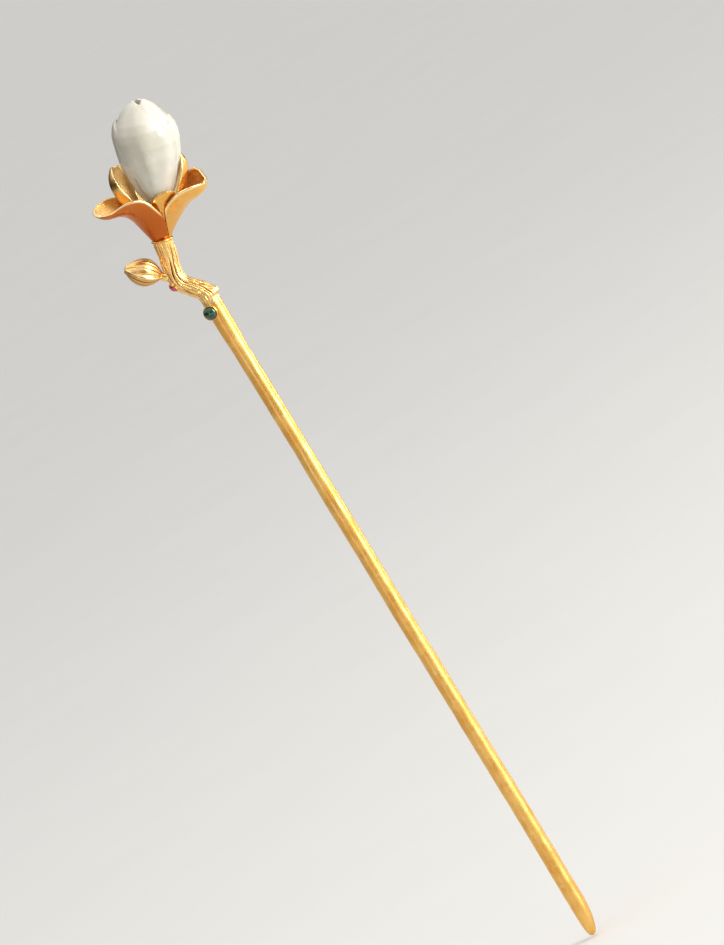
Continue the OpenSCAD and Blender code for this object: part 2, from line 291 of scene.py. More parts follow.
bark_lump = 0.07
bark_swell = 0.10
scar_height = 0.6
scar_r = 1.3
scar = Vector((1.25, -0.15, shoulder + 1.95))


def through(points, u):
    """A smooth curve through the points, at u from 0 to the last one's number."""
    last = len(points) - 1
    i = min(max(math.floor(u), 0), last - 1)
    f = u - i
    b = points[i]
    c = points[i + 1]
    a = points[i - 1] if i > 0 else 2 * b - c
    d = points[i + 2] if i < last - 1 else 2 * c - b
    return (b + (c - a) * (f / 2) + (2 * a - 5 * b + 4 * c - d) * (f * f / 2)
            + (3 * b - a - 3 * c + d) * (f * f * f / 2))


def groove_set(count, u, angle, width, depth, wander, seed):
    """How deep a set of grooves cuts at an angle. They wander by some degrees and come and go."""
    total = 0
    for k in range(count):
        middle = 360 * k / count + 9 * rough(k * 3.1, seed, 0)
        middle += wander * rough(u * 0.55, k * 5.3, seed)
        off = (angle - middle + 180) % 360 - 180
        strength = 0.72 + 0.9 * rough(u * 1.1, k * 2.7, seed + 4)
        total += depth * max(strength, 0.1) * math.exp(-(off / width) ** 2)
    return total


def branch_shape():
    column = [(1, i / branch_rings) for i in range(branch_rings + 1)]
    shape = turned([(0, 0)] + column + [(0, 1)], branch_sides)
    patina_and_shade = shape.verts.layers.float.new("patina_and_shade")
    last = len(branch_path) - 1
    for corner in shape.verts:
        u = corner.co.z * last
        angle = math.degrees(math.atan2(corner.co.y, corner.co.x))
        share = math.hypot(corner.co.x, corner.co.y)
        middle = through(branch_path, u)
        ahead = through(branch_path, min(u + 0.01, last))
        way = (ahead - through(branch_path, max(u - 0.01, 0))).normalized()
        way = way.lerp(flower_way, soft_step(last - 0.5, last, u)).normalized()
        side = Vector((0, 1, 0)).cross(way).normalized()
        front = way.cross(side)
        out = side * math.cos(math.radians(angle)) + front * math.sin(math.radians(angle))
        cut = groove_set(main_grooves, u, angle, main_width, main_depth, groove_wander, 1)
        cut += groove_set(fine_grooves, u, angle, fine_width, fine_depth, groove_wander, 8)
        cut *= soft_step(0.1, 1.3, u) * (1 - 0.7 * soft_step(last - 0.25, last, u))
        radius = shoulder_r - branch_waist * math.sin(math.pi * u / last)
        turn = math.radians(angle)
        lump = bark_lump * rough(u * 0.9, math.cos(turn), math.sin(turn))
        radius += (lump + bark_swell) * soft_step(0.1, 1.3, u)
        spot = middle + out * radius - scar
        along = spot.dot(way)
        across = (spot - way * along).length
        shelf = soft_step(-0.75, -0.3, along) * math.exp(-(max(along, 0) / 1.0) ** 2)
        radius += scar_height * shelf * math.exp(-(across / scar_r) ** 2)
        corner.co = middle + out * share * (radius - cut)
        # Deeper cuts are coloured darker: partly patina, partly painted shade.
        corner[patina_and_shade] = min(cut / darkest_cut, 1)
    return shape


def bark_gilt(name):
    """Chased gilding: bright lands, and dark red-brown in the grooves, partly patina and partly
    painted shade.
    """
    finish = Finish(name, Metallic=1.0)
    patina_and_shade = finish.mark("patina_and_shade")
    fine = finish.grain(7.0, 4.0)
    rim = finish.mark("rim")
    tone = finish.mix(fine.between(0.3, 0.7) * 0.75, gilt_tone(finish), GILT_PALE)
    # Dark red-brown in the grooves: partly patina, partly painted shade.
    tone = finish.mix(patina_and_shade.between(0.12, 0.8) * 0.85, tone, GILT_SHADE)
    finish.set(Base_Color=finish.mix(rim * 0.8, tone, GILT_PALE))
    finish.set(Roughness=fine * 0.16 + patina_and_shade * 0.22 + (0.22 - rim * 0.08))
    finish.relief(fine * 0.5 + finish.grain(2.0, 2.0) * 0.8, 0.03)
    return finish


bark_finish = bark_gilt("chased bark gilding")
piece("branch_bark", branch_shape(), bark_finish, "bark_gilt", "branch")

# ---------------------------------------------------------------- stones
# Two cabochons in plain cup bezels: a dark green one on the stick's shoulder and a small pink one
# under the branch. Each bezel is a strip of gilt sheet soldered to a floor, its lip pressed over.

bezel_wall = 0.15
lip_over = 0.01             # the lip laps over the stone's edge by this much
foot_step = 0.06            # the floor's edge stands out past the wall
stone_play = 0.02
lip_turns = 6
dome_steps = 20
green_d = 2.4
green_floor = 0.95
green_lip = 0.28
green_girdle = 0.26
green_dome = 0.82
pink_d = 1.6
pink_floor = 0.6
pink_lip = 0.34
pink_girdle = 0.3
pink_dome = 0.5
seat = Matrix.Translation((0, 0, 1.45))
in_green = (
    Matrix.Translation((-0.62, 0, shoulder - 1.05)) @ Matrix.Rotation(math.radians(-20), 4, "Z")
    @ Matrix.Rotation(math.radians(90), 4, "X") @ seat)
in_pink = (
    Matrix.Translation((-3.1, 0.1, shoulder + 6.7)) @ Matrix.Rotation(math.radians(-62), 4, "Z")
    @ Matrix.Rotation(math.radians(115), 4, "X") @ seat)


def bezel_shape(width, height, floor, place):
    """A cup whose lip is rounded and pressed a little inwards over the stone."""
    inside = width / 2 - lip_over
    outside = width / 2 + bezel_wall - lip_over
    middle = (inside + outside) / 2
    round_r = (outside - inside) / 2
    lip = [(middle + round_r * math.cos(math.pi * i / lip_turns),
            height + round_r * math.sin(math.pi * i / lip_turns)) for i in range(lip_turns + 1)]
    profile = [(0, -floor), (outside + foot_step, -floor), (outside + foot_step, -floor + 0.05),
               (outside, -floor + 0.14)] + lip + [(inside, 0.02), (0, 0.02)]
    shape = turned(profile, 64)
    for corner in shape.verts:
        x, y, z = corner.co
        if z > 0.1:
            corner.co *= 1 + 0.02 * rough(x * 0.9, y * 0.9, z)
    shape.transform(place)
    return shape


def cabochon_shape(width, girdle, dome, place):
    """A dome on a short straight girdle, its edge eased."""
    edge = width / 2 - stone_play
    side = [(0, 0.03), (edge - 0.01, 0.03), (edge, girdle)]
    crown = [(edge * math.cos(math.pi / 2 * i / dome_steps),
              girdle + dome * math.sin(math.pi / 2 * i / dome_steps))
             for i in range(1, dome_steps + 1)]
    shape = turned(side + crown, 64)
    shape.transform(place)
    return shape


def cabochon_glass(name, deep, light, milk):
    """Deep clear colour with a few silky inclusions, polished."""
    finish = Finish(name, Roughness=0.06, IOR=1.6, Coat_Weight=0.5, Coat_Roughness=0.03)
    silk = finish.grain(2.2, 5.0).between(0.42, 0.74)
    cloud = finish.grain(0.9, 1.0).between(0.4, 0.65)
    finish.set(Base_Color=finish.mix(silk * 0.5, finish.mix(cloud, deep, light), milk))
    finish.set(Subsurface_Weight=0.35, Subsurface_Radius=(0.6, 1.0, 0.7), Subsurface_Scale=MM)
    return finish


bezel_finish = satin_gilt("burnished gilding on the bezels", 0.24, (1, 1, 1))
green_finish = cabochon_glass(
    "dark green cabochon",
    (0.0005, 0.012, 0.004, 1), (0.001, 0.055, 0.017, 1), (0.004, 0.15, 0.05, 1))
pink_finish = cabochon_glass(
    "rose pink cabochon",
    (0.34, 0.002, 0.04, 1), (0.60, 0.012, 0.11, 1), (0.8, 0.12, 0.28, 1))
piece("green_cup", bezel_shape(green_d, green_lip, green_floor, in_green), bezel_finish,
      "satin_gilt", "green_bezel")
piece("green_cabochon", cabochon_shape(green_d, green_girdle, green_dome, in_green), green_finish,
      "green_cabochon", "green_stone")
piece("pink_cup", bezel_shape(pink_d, pink_lip, pink_floor, in_pink), bezel_finish,
      "satin_gilt", "pink_bezel")
piece("pink_cabochon", cabochon_shape(pink_d, pink_girdle, pink_dome, in_pink), pink_finish,
      "pink_cabochon", "pink_stone")

# ---------------------------------------------------------------- side bud
# A closed bud beside the branch: a cast core on a short stalk, pinned and soldered into the bark,
# with two ribbed scales shelled over it. The upper scale's thick edge laps over the lower one.

bud_foot = Vector((-4.25, -0.3, shoulder + 8.0))
in_bud = (Matrix.Translation(bud_foot) @ Matrix.Rotation(math.radians(-49), 4, "Y")
          @ Matrix.Rotation(math.radians(6), 4, "X"))
bud_base = 0.8
bud_l = 7.0
bud_d = 5.2
stalk_r = 0.75
pin_r = 0.5
pin_l = 1.1
bud_widest = 0.50           # share of the length at which the bud is thickest
bud_creases = 17
crease_width = 2.8
crease_depth = 0.12
darkest_crease = 0.17
scale_bead = 0.32
scale_across = 100
scale_along = 90
bud_steps = 33


def bud_radius(share):
    """The bud's radius along its length: full past the middle, blunt at the tip."""
    if share < bud_widest:
        return bud_d / 2 * math.sin(math.pi / 2 * share / bud_widest) ** 0.78
    return bud_d / 2 * math.cos(math.pi / 2 * (share - bud_widest) / (1.0 - bud_widest)) ** 0.56


def two_sheets(across, along, *marks):
    """Two square grids, the second facing the other way, whose corners carry named marks."""
    shape = bmesh.new()
    bmesh.ops.create_grid(shape, x_segments=across, y_segments=along, size=1)
    layers = [shape.verts.layers.float.new(mark) for mark in marks]
    outer = list(shape.verts)
    copy = bmesh.ops.duplicate(shape, geom=shape.verts[:] + shape.edges[:] + shape.faces[:])
    inner = [item for item in copy["geom"] if isinstance(item, bmesh.types.BMVert)]
    bmesh.ops.reverse_faces(
        shape, faces=[item for item in copy["geom"] if isinstance(item, bmesh.types.BMFace)])
    return shape, outer, inner, layers


def join_edges(shape):
    """Closes the gap between the two sheets all round."""
    bmesh.ops.bridge_loops(shape, edges=[edge for edge in shape.edges if edge.is_boundary])


def scale_shape(middle, spread, lift, thick, shade):
    """A ribbed shell round one side of the bud, with a rolled edge and a beak at its tip."""
    shape, outer, inner, (patina_and_shade, rim) = two_sheets(scale_across, scale_along, "patina_and_shade", "rim")
    for corners, depth in ((outer, 0), (inner, thick)):
        for corner in corners:
            across, along = corner.co.x, corner.co.y
            share = 0.02 + 0.965 * (along + 1) / 2
            pinch = 1 - 0.12 * soft_step(0.6, 1, share)
            angle = middle + spread * across * pinch
            edge = soft_step(0.86, 0.98, abs(across))
            fade = soft_step(0, 0.12, share) * (1 - soft_step(0.93, 1, share)) * (1 - edge)
            crease = fade * groove_set(
                bud_creases, share * 2, math.degrees(angle), crease_width, crease_depth, 6, 3)
            radius = bud_radius(share) + lift - depth
            if depth == 0:
                rolled = edge * soft_step(0, 0.12, share) * (1 - soft_step(0.85, 1, share))
                radius += scale_bead * rolled - crease
            beak = 0.25 * soft_step(0.93, 1, share) * math.cos(angle)
            height = bud_base + bud_l * share + 0.12 * soft_step(0.9, 1, share)
            corner.co = Vector((radius * math.cos(angle) + beak, radius * math.sin(angle), height))
            # The creases darken as patina and painted shade, and shade darkens the whole sheet as
            # painted shade.
            corner[patina_and_shade] = min(crease / darkest_crease + shade, 1)
            corner[rim] = edge
    join_edges(shape)
    bmesh.ops.recalc_face_normals(shape, faces=shape.faces)
    shape.transform(in_bud)
    return shape


def bud_core_shape():
    """The stalk's pin, the stalk with its collar, and the core that the scales lap over."""
    profile = [(0, -pin_l), (pin_r, -pin_l), (pin_r, -0.05), (stalk_r, 0), (stalk_r + 0.1, 0.12),
               (stalk_r + 0.12, 0.5), (stalk_r + 0.06, 0.9), (stalk_r + 0.02, 1.15)]
    for i in range(2, bud_steps):
        share = 0.02 + 0.965 * i / bud_steps
        profile.append((max(bud_radius(share) - 0.32, 0.05), bud_base + bud_l * share))
    profile.append((0, bud_base + bud_l * 0.99))
    shape = turned(profile, 64)
    patina_and_shade = shape.verts.layers.float.new("patina_and_shade")
    for corner in shape.verts:
        # Painted shade: above its collar the core is coloured almost as dark as the deepest groove,
        # where it shows between the scales.
        corner[patina_and_shade] = 0.9 * soft_step(1.2, 1.6, corner.co.z)
    shape.transform(in_bud)
    return shape


piece("bud_core", bud_core_shape(), bark_finish, "bark_gilt", "side_bud_core")
# The lower scale is painted darker all over, as shade.
piece("bud_lower_scale", scale_shape(math.pi, math.radians(84), -0.28, 0.18, 0.4), bark_finish,
      "bark_gilt", "side_bud_lower_scale")
piece("bud_upper_scale", scale_shape(0, math.radians(104), 0.04, 0.40, 0), bark_finish,
      "bark_gilt", "side_bud_upper_scale")

# ---------------------------------------------------------------- neck
# The flower's foot: a thin gilt ring on the branch's end, and the small leaning cup soldered
# through it on a post. The cup holds the petals' feet and, on a peg, the carved bud.

collar_r = 1.95
post_r = 0.9
post_l = 3.2
cup_shift = 1.7
cup_h = 4.8
cup_r = 0.55
cup_top_r = 1.4
cup_steps = 10
ring_wire = 0.22
ring_turns = 10


def collar_shape():
    """A ring of half-round wire, a little uneven, with a fillet of solder up to the petals."""
    bulge = [(collar_r - ring_wire + ring_wire * math.sin(math.pi * i / ring_turns),
              -collar_h / 2 - collar_h / 2 * math.cos(math.pi * i / ring_turns))
             for i in range(ring_turns + 1)]
    solder = [(collar_r - 0.35, 0.14), (1.2, 0.3), (0, 0.3)]
    shape = turned([(0, -collar_h)] + bulge + solder, 96)
    for corner in shape.verts:
        corner.co *= 1 + 0.02 * rough(corner.co.x, corner.co.y, 3)
    shape.transform(in_flower)
    return shape


def cup_shape():
    """The cup widens as it leans from the neck's axis to the carved bud's."""
    profile = [(0, -post_l), (post_r, -post_l), (post_r, 0.2), (cup_r, 0.3)]
    for i in range(1, cup_steps + 1):
        share = i / cup_steps
        profile.append((cup_r + (cup_top_r - cup_r) * share ** 1.3, 0.3 + (cup_h - 0.35) * share))
    profile += [(cup_top_r - 0.08, cup_h), (0, cup_h)]
    shape = turned(profile, 64)
    for corner in shape.verts:
        corner.co.x += cup_shift * soft_step(0, cup_h, corner.co.z)
    shape.transform(in_flower)
    return shape


cup_finish = satin_gilt("gilding in the cup", 0.42, (1, 1, 1))
piece("neck_ring", collar_shape(), bezel_finish, "satin_gilt", "neck_collar")
piece("petal_cup", cup_shape(), cup_finish, "petal_gilt", "flower_cup")
for slot in bpy.data.objects["carving_peg"].material_slots:
    slot.material = cup_finish.material

# ---------------------------------------------------------------- petals
# Six sheet petals, raised over a stake and gilded: satin outside, stippled inside, with a burnished
# bead round the edge. Three open out from the neck, and three stand up inside them by the carving.

petal_t = 0.42
bead = 0.09
dent_depth = 0.10
vein_height = 0.02
cupping = math.radians(75)  # half the arc across a petal
petal_across = 18
petal_along = 34
tip_from = 0.78             # the tip starts at this share of the length
tip_round = 0.10            # the tip's corners are drawn back by this share of the length
tip_easings = 4
# Left edge, keel and right edge of the outside, seen from outside, from foot to tip.
outer_left = [
    [(-1.0, 1.45, 0.1), (-1.35, -1.15, 0), (1.45, -1.0, 0.1)],
    [(-2.2, 2.2, 2.6), (-2.3, -1.6, 2.4), (1.6, -2.7, 3.5)],
    [(-3.3, 2.7, 4.8), (-3.2, -1.9, 4.2), (0.8, -3.7, 5.9)],
    [(-4.2, 3.0, 6.8), (-4.4, -2.1, 5.4), (-1.0, -4.4, 8.2)],
    [(-5.3, 2.7, 8.4), (-5.9, -2.2, 6.1), (-3.9, -5.2, 8.7)],
    [(-7.2, 1.6, 9.2), (-7.8, -2.2, 6.6), (-7.2, -4.9, 7.6)],
    [(-9.2, -0.1, 8.9), (-9.4, -2.1, 7.2), (-9.3, -3.4, 7.5)],
    [(-10.3, -1.3, 8.5), (-10.35, -1.9, 8.1), (-10.3, -2.5, 8.0)]]
outer_right = [
    [(1.4, -0.75, 0.1), (1.75, 0.2, 0), (0.9, 1.5, 0.1)],
    [(1.6, -2.0, 3.3), (3.1, 0.1, 1.7), (1.7, 2.1, 2.2)],
    [(2.3, -3.2, 5.7), (4.7, 0, 3.3), (3.3, 3.0, 4.4)],
    [(4.9, -4.3, 7.6), (6.4, 0, 4.6), (5.0, 3.7, 6.7)],
    [(7.9, -3.7, 8.1), (8.2, 0, 5.6), (6.9, 4.0, 9.2)],
    [(10.0, -2.2, 8.0), (9.9, 0, 6.9), (9.3, 2.3, 10.1)],
    [(10.7, -0.5, 8.5), (10.6, 0, 8.5), (10.5, 0.5, 8.9)]]
outer_back = [
    [(0.8, 1.55, 0.1), (-0.3, 1.75, 0), (-0.9, 1.5, 0.1)],
    [(2.0, 3.3, 2.6), (-0.2, 3.6, 2.4), (-2.0, 2.9, 2.6)],
    [(3.0, 4.8, 5.0), (-0.3, 5.1, 4.4), (-3.1, 4.2, 4.9)],
    [(3.0, 7.0, 7.2), (-0.4, 7.3, 5.9), (-3.4, 6.2, 6.8)],
    [(2.0, 9.0, 8.2), (-0.4, 9.4, 7.0), (-2.7, 8.6, 7.8)],
    [(-0.1, 10.6, 8.4), (-0.5, 10.7, 8.0), (-1.1, 10.5, 8.2)]]
inner_front = [
    [(0.5, -1.4, 2.4), (0.95, -1.45, 2.4), (1.4, -1.35, 2.4)],
    [(0.4, -1.45, 3.3), (1.5, -1.78, 3.6), (2.7, -1.2, 3.8)],
    [(0.3, -2.0, 5.1), (1.9, -2.6, 5.7), (3.6, -1.9, 5.8)],
    [(0.2, -2.9, 6.9), (2.2, -3.6, 7.3), (4.7, -2.95, 7.5)],
    [(1.0, -3.5, 8.0), (2.5, -4.0, 8.2), (4.1, -3.6, 8.3)],
    [(2.0, -3.8, 8.5), (2.5, -4.0, 8.5), (3.0, -3.8, 8.6)]]
inner_left = [
    [(-0.4, 1.1, 1.2), (-1.0, 0, 1.2), (-0.3, -1.2, 1.4)],
    [(-1.6, 2.8, 4.6), (-2.9, 0.3, 4.3), (-1.6, -2.0, 5.2)],
    [(-2.2, 4.2, 7.9), (-4.6, 0.5, 6.9), (-2.9, -2.5, 8.4)],
    [(-2.7, 4.9, 10.8), (-5.6, 0.7, 9.2), (-4.2, -2.6, 11.1)],
    [(-3.3, 4.4, 13.0), (-6.0, 0.8, 11.1), (-4.8, -2.0, 13.2)],
    [(-3.8, 3.0, 14.2), (-5.8, 0.8, 13.0), (-4.8, -1.0, 14.4)],
    [(-4.4, 1.3, 14.7), (-5.0, 0.6, 14.6), (-4.6, -0.2, 14.9)]]
inner_right = [
    [(2.3, -0.6, 2.6), (2.5, 0.2, 2.5), (1.9, 1.1, 2.3)],
    [(3.2, -1.4, 4.9), (4.1, 0.8, 4.9), (2.8, 2.8, 4.9)],
    [(5.05, -1.8, 7.5), (6.2, 1.4, 7.5), (4.4, 4.4, 7.8)],
    [(6.3, -1.9, 10.1), (7.7, 1.8, 9.9), (5.5, 5.1, 10.3)],
    [(7.1, -1.1, 12.3), (8.1, 1.9, 11.8), (6.5, 4.7, 12.0)],
    [(7.3, -0.1, 13.6), (7.6, 1.8, 13.0), (6.9, 3.5, 13.1)],
    [(7.3, 0.6, 14.0), (7.3, 1.5, 13.9), (7.1, 2.3, 13.7)]]


def petal_spot(stations, s, t):
    """A point of the outside, s from foot to tip and t from edge to edge."""
    left, keel, right = (
        through([Vector(row[i]) for row in stations], s * (len(stations) - 1)) for i in range(3))
    across = (right - left) / 2
    rise = (right + left) / 2 - keel
    a = cupping * t
    return (keel + across * (math.sin(a) / math.sin(cupping))
            + rise * ((1 - math.cos(a)) / (1 - math.cos(cupping))))


def petal_out(stations, s, t):
    """The direction that points out of the petal's outside."""
    low, high = max(s - 0.01, 0), min(s + 0.01, 1)
    across = petal_spot(stations, s, t + 0.05) - petal_spot(stations, s, t - 0.05)
    along = petal_spot(stations, high, t) - petal_spot(stations, low, t)
    return across.cross(along).normalized()


def petal_shape(stations, seed):
    """Two sheets a wall apart, joined round the edge, thickened there to a bead."""
    shape, outer, inner, (rim, inside, foot) = two_sheets(
        petal_across, petal_along, "rim", "inside", "foot")
    for corners, depth in ((outer, 0), (inner, 1)):
        for corner in corners:
            t, s = corner.co.x, (corner.co.y + 1) / 2
            tip = soft_step(tip_from, 1, s)
            clear = soft_step(0.1, 0.4, s)
            edge = max(soft_step(0.80, 1, abs(t)) * soft_step(0.05, 0.3, s), soft_step(0.93, 1, s))
            dent = dent_depth * rough(s * 3 + seed, t * 1.5, seed) * clear
            dent *= (1 - tip) * (1 - 0.8 * edge)
            vein = vein_height * math.cos(5 * math.pi * t) * (1 - edge) * clear
            level = bead * edge + dent + vein if depth == 0 else dent - petal_t - bead * edge
            out = petal_out(stations, min(s, 0.94), t * (1 - 0.7 * tip))
            corner.co = petal_spot(stations, s * (1 - tip_round * t * t * tip), t) + out * level
            corner[rim] = edge
            corner[foot] = 1 - s
            corner[inside] = depth
    tip_corners = [corner for corner in shape.verts if corner[foot] < 0.16]
    for easing in range(tip_easings):
        bmesh.ops.smooth_vert(shape, verts=tip_corners, factor=0.5,
                              use_axis_x=True, use_axis_y=True, use_axis_z=True)
    join_edges(shape)
    shape.transform(in_flower)
    return shape


def petal_gilt(name, red_shade_share=0.0):
    """Satin outside with painted shade: deeper gold than the inside, redder towards the foot, and
    redder all over by the given share. Stippled inside, and burnished on the bead.
    """
    finish = Finish(name, Metallic=1.0)
    rim = finish.mark("rim").between(0.35, 0.8)
    inside = finish.mark("inside").between(0.3, 0.7)
    stipple = finish.grain(3.4, 2.0)
    fine = finish.grain(9.0, 3.0)
    clouds = finish.grain(0.22, 2.0)
    # Painted shade: the outside's clouds run deeper than the inside's.
    outside_tone = finish.mix(clouds.between(0.3, 0.62), GILT_DEEP, GILT)
    outside_tone = finish.mix(fine.between(0.3, 0.8) * 0.2, outside_tone, GILT_PALE)
    # Painted shade: redder towards the foot, and red all over by the given share.
    red = finish.mark("foot").between(0.2, 1.0) * (0.35 - 0.25 * red_shade_share) + red_shade_share
    outside_tone = finish.mix(red, outside_tone, GILT_RED_SHADE)
    inside_tone = finish.mix(stipple.between(0.36, 0.7), GILT, GILT_PALE)
    tone = finish.mix(inside, outside_tone, inside_tone)
    finish.set(Base_Color=finish.mix(rim * 0.95, tone, GILT_PALE), Metallic=1 - inside * 0.25)
    matt = fine * 0.10 + stipple * 0.10 + inside * 0.08 + 0.15
    finish.set(Roughness=matt - rim * 0.16)
    height = fine * 0.25 + stipple * (inside * 1.3 + 0.2)
    finish.relief(height * (1 - rim * 0.8), 0.045)
    return finish


petal_finish = petal_gilt("petal gilding")
# A copy of the petal gilding with painted red shade all over, for the outer left petal.
red_petal_finish = petal_gilt("painted_red_shade petal gilding", 0.85)
for number, (node, stations) in enumerate({
        "outer_petal_left": outer_left, "outer_petal_right": outer_right,
        "outer_petal_back": outer_back, "inner_petal_front": inner_front,
        "inner_petal_left": inner_left, "inner_petal_right": inner_right}.items()):
    gilding = red_petal_finish if node == "outer_petal_left" else petal_finish
    piece(node + "_sheet", petal_shape(stations, 3.7 * number), gilding,
          "petal_gilt", node, levels=2)

# ---------------------------------------------------------------- carved bud
# A magnolia bud carved from one piece of white nephrite, its tepals wrapped round each other, and
# polished to a waxy shine. It is drilled from below and cemented on the cup's peg.

in_carving = (in_flower @ Matrix.Translation((cup_shift, 0, cup_h))
              @ Matrix.Rotation(math.radians(1.5), 4, "Y"))
# Radius and height up the bud, then how far its middle stands off the axis towards +X, and height.
carving_rows = [Vector(row) for row in (
    (1.50, 0.0), (2.05, 1.0), (2.95, 2.7), (3.72, 4.4), (4.62, 7.3), (5.25, 9.5), (5.55, 12.0),
    (5.48, 13.6), (5.20, 14.9), (4.52, 16.4), (3.65, 17.6), (2.85, 18.6), (2.0, 19.5), (1.3, 20.1))]
carving_shift = [Vector(row) for row in (
    (-0.05, 0), (-0.2, 4.5), (0.0, 7.5), (0.12, 9.5), (0.28, 12), (0.2, 14.5), (0.1, 17),
    (0.1, 20.5))]
grain_of_remesh = 0.12
tepal_crown = 0.22          # a tepal's middle stands this far out of its edges
tepal_flute = 0.07
tepal_edge = 0.40           # thickness at the top edge
tepal_foot = 1.2            # and how much thicker it is below
waist_left = 0.36           # a tepal's foot has this share of its width, left of its peak
waist_right = 0.7
heart_top = 18.0
heart_full = 15.2           # the heart rounds off above this height
heart_steps = 61


def at_height(rows, height):
    """The first number of the row at a height, on a straight line between its neighbours."""
    for low, high in zip(rows, rows[1:]):
        if height <= high[1]:
            break
    share = (height - low[1]) / (high[1] - low[1])
    return low[0] + (high[0] - low[0]) * min(max(share, 0), 1)


# Each tepal's direction and half its width in degrees, the height of its tip, how far the tip
# stands off its middle line, how far its left and right shoulders drop and how roundly, how proud
# it stands, and how far its tip flares.
tepals = [
    (-93, 74, 20.3, -0.10, (2.7, 3.4), (2.1, 1.16), 0.42, 0.0),
    (-25, 58, 20.1, -0.10, (2.0, 4.6), (2.4, 1.5), 0.26, 0.35),
    (178, 55, 17.6, -0.1, (4.5, 4.5), (2.0, 2.0), 0.12, 0.50),
    (-4, 50, 16.3, 0.0, (4.0, 4.0), (2.0, 2.0), 0.24, 0.40),
    (38, 46, 17.2, 0.0, (4.0, 4.0), (1.8, 1.8), 0.05, 0.15),
    (64, 66, 20.0, 0.12, (3.0, 3.0), (1.7, 1.5), 0.0, 0.0),
    (128, 60, 18.3, 0.0, (3.6, 3.6), (1.6, 1.6), 0.10, 0.0)]


def tepal_shape(direction, half_width, height, peak, drops, powers, stand, flare):
    """A thick curved sheet, wide above and narrow at the foot, thin towards its top edge."""
    shape, outer, inner, _ = two_sheets(44, 70)
    behind = set(inner)
    for corner in outer + inner:
        t, s = corner.co.x, (corner.co.y + 1) / 2
        side = 0 if t < peak else 1
        top = height - drops[side] * (abs(t - peak) / (1 + abs(peak))) ** powers[side]
        z = 0.3 + (top - 0.3) * s
        waist = waist_left if t < peak else waist_right
        narrow = waist + (1 - waist) * soft_step(0.1, 0.85, z / height)
        angle = math.radians(direction + half_width * t * narrow)
        crown = tepal_crown * (1 - t * t) * soft_step(0.1, 0.5, s)
        valley = tepal_flute * math.cos(3.4 * math.pi * t)
        valley *= soft_step(0.15, 0.5, s) * (1 - soft_step(0.8, 1, s))
        radius = at_height(carving_rows, z) + stand * soft_step(0, 0.3, s) + crown - 0.25 + valley
        radius += flare * soft_step(0.7, 1, z / height)
        if corner in behind:
            radius -= tepal_edge + tepal_foot * (1 - soft_step(0.6, 0.97, z / height))
        shift = at_height(carving_shift, z)
        corner.co = Vector((radius * math.cos(angle) + shift, radius * math.sin(angle), z))
    join_edges(shape)
    return shape


def carving_core():
    """The stone inside the tepals, its top carved as the furled heart of the bud."""
    profile = [(0, 0)]
    for i in range(heart_steps):
        z = heart_top * i / heart_steps
        drawn_in = 1 - 0.42 * soft_step(12.5, 16, z)
        close = math.sqrt(1 - max(0, (z - heart_full) / (heart_top - heart_full)) ** 2)
        radius = at_height(carving_rows, min(z, heart_full)) - 0.5
        profile.append((radius * drawn_in * close, z))
    profile.append((0, heart_top))
    shape = turned(profile, 96)
    for corner in shape.verts:
        x, y, z = corner.co
        turns = math.atan2(y, x) + z * 1.1
        furl = 1 - 0.16 * soft_step(13, 16, z) * math.exp(-(math.sin(turns * 1.5) / 0.25) ** 2)
        corner.co = Vector((x * furl + at_height(carving_shift, z), y * furl, z))
    return shape


def carved_bud_shape():
    """Joins the tepals and the core into one skin and eases it, as polishing does."""
    rough_mesh = bpy.data.meshes.new("carving blank")
    whole = bmesh.new()
    for part in [carving_core()] + [tepal_shape(*tepal) for tepal in tepals]:
        part.to_mesh(rough_mesh)
        part.free()
        whole.from_mesh(rough_mesh)
    whole.to_mesh(rough_mesh)
    whole.free()
    blank = bpy.data.objects.new("carving blank", rough_mesh)
    bpy.context.collection.objects.link(blank)
    joined = blank.modifiers.new("joined", "REMESH")
    joined.mode = "VOXEL"
    joined.voxel_size = grain_of_remesh
    eased = blank.modifiers.new("eased", "SMOOTH")
    eased.factor = 0.5
    eased.iterations = 3
    finished = blank.evaluated_get(bpy.context.evaluated_depsgraph_get())
    done = bpy.data.meshes.new_from_object(finished)
    shape = bmesh.new()
    shape.from_mesh(done)
    bpy.data.objects.remove(blank)
    shape.transform(in_carving)
    return shape


def nephrite(name):
    """White nephrite: milky, with soft clouds of grey-green and cream and a waxy polish."""
    finish = Finish(name, Roughness=0.3, IOR=1.61, Coat_Weight=0.35, Coat_Roughness=0.18)
    clouds = finish.grain(0.16, 3.0)
    wisps = finish.grain(0.55, 5.0, (1, 1, 0.45))
    tone = finish.mix(clouds.between(0.36, 0.64), (0.59, 0.55, 0.49, 1), (0.51, 0.50, 0.42, 1))
    tone = finish.mix(wisps.between(0.52, 0.78) * 0.5, tone, (0.66, 0.635, 0.595, 1))
    finish.set(Base_Color=tone)
    finish.set(Roughness=finish.grain(1.6, 3.0) * 0.10 + 0.20)
    finish.set(
        Subsurface_Weight=0.6, Subsurface_Radius=(1.0, 0.85, 0.65), Subsurface_Scale=1.6 * MM)
    finish.relief(finish.grain(0.8, 2.0), 0.03)
    return finish


piece("carved_stone_bud", carved_bud_shape(), nephrite("white nephrite"),
      "white_stone", "carved_bud")

# ---------------------------------------------------------------- studio
# A plain pale floor under the pin's point and an overcast dome, brightest overhead. Two large soft
# lamps stand on the camera's right, a third behind on the right, and a weak warm one on the left.

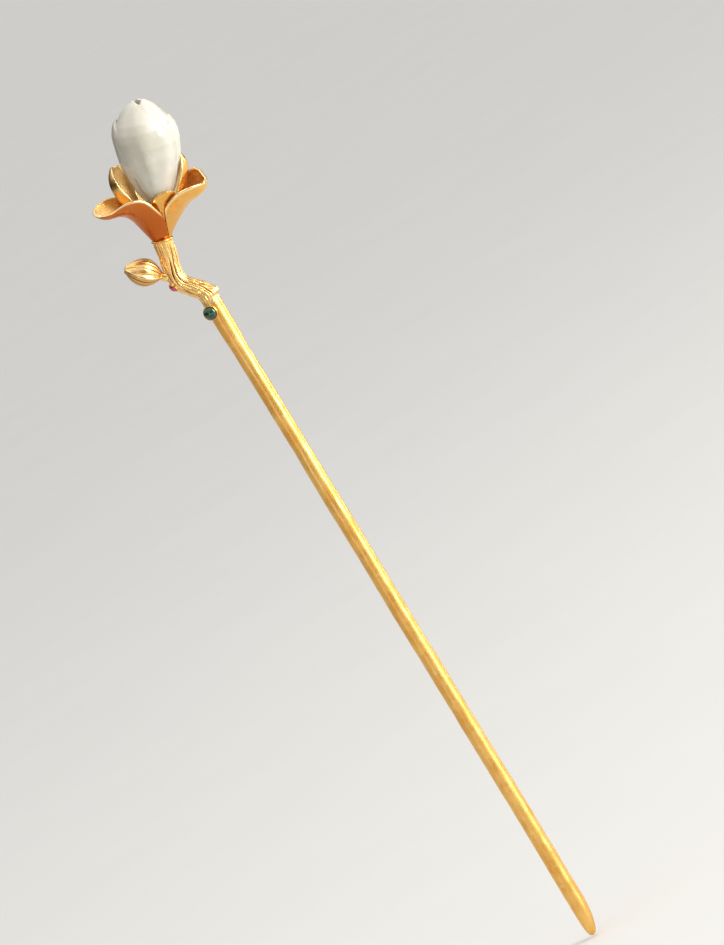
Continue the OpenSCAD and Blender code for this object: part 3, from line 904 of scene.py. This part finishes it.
floor_size = 40
floor_gap = 0.0003          # the floor lies this far under the point
floor_mesh = bmesh.new()
bmesh.ops.create_grid(floor_mesh, x_segments=1, y_segments=1, size=floor_size / 2)
bmesh.ops.translate(floor_mesh, vec=(0, 0, cad_box[0].z - floor_gap), verts=floor_mesh.verts)
floor_data = bpy.data.meshes.new("floor")
floor_mesh.to_mesh(floor_data)
floor_mesh.free()
floor = bpy.data.objects.new("floor", floor_data)
bpy.context.collection.objects.link(floor)
floor_finish = Finish("pale floor", Roughness=0.9)
floor_finish.set(Base_Color=floor_finish.mix(
    floor_finish.grain(0.02, 2.0), (0.68, 0.67, 0.645, 1), (0.71, 0.70, 0.675, 1)))
floor_data.materials.append(floor_finish.material)

world = bpy.data.worlds.new("studio")
bpy.context.scene.world = world
world.use_nodes = True
sky = world.node_tree
up = sky.nodes.new("ShaderNodeSeparateXYZ")
sky.links.new(sky.nodes.new("ShaderNodeTexCoord").outputs["Generated"], up.inputs[0])
ramp = sky.nodes.new("ShaderNodeValToRGB")
ramp.color_ramp.elements[0].position = 0.2
ramp.color_ramp.elements[0].color = (0.03, 0.028, 0.026, 1)
ramp.color_ramp.elements[1].position = 0.9
ramp.color_ramp.elements[1].color = (1.5, 1.5, 1.5, 1)
sky.links.new(up.outputs["Z"], ramp.inputs[0])
sky.links.new(ramp.outputs[0], sky.nodes["Background"].inputs["Color"])
sky.nodes["Background"].inputs["Strength"].default_value = 0.9

target = Vector((0.00688, 0, 0.091208))


def soft_light(name, place, aim, width, height, watts, colour):
    lamp = bpy.data.lights.new(name, "AREA")
    lamp.shape = "ELLIPSE"
    lamp.size = width
    lamp.size_y = height
    lamp.energy = watts
    lamp.color = colour
    holder = bpy.data.objects.new(name, lamp)
    bpy.context.collection.objects.link(holder)
    holder.location = place
    holder.rotation_mode = "QUATERNION"
    holder.rotation_quaternion = (Vector(aim) - Vector(place)).to_track_quat("-Z", "Y")


soft_light("key", (0.95, -0.60, 0.60), target, 0.42, 0.6, 5.5, (1.0, 0.99, 0.96))
soft_light("strip", (0.88, -0.47, 0.24), target, 0.60, 0.50, 8.5, (1.0, 0.99, 0.96))
soft_light("edge", (0.95, 0.50, 0.25), target, 0.30, 0.5, 4, (1.0, 0.97, 0.92))
soft_light("fill", (-0.6, -1.0, 0.25), target, 0.4, 0.6, 0.8, (1.0, 0.80, 0.62))
bpy.context.scene.view_settings.view_transform = "Standard"

roll = math.radians(31.1125)
pitch = math.radians(7)
distance = 1.5
right = Vector((math.cos(roll), 0, -math.sin(roll)))
level_up = Vector((math.sin(roll), 0, math.cos(roll)))
forward = Vector((0, math.cos(pitch), 0)) - level_up * math.sin(pitch)
camera_up = right.cross(forward)
lens = bpy.data.cameras.new("camera")
lens.sensor_width = 36
lens.lens = 326.87
lens.clip_end = 100
camera = bpy.data.objects.new("camera", lens)
bpy.context.collection.objects.link(camera)
facing = Matrix((right, camera_up, -forward)).transposed()
camera.matrix_world = Matrix.Translation(target - forward * distance) @ facing.to_4x4()
bpy.context.scene.camera = camera
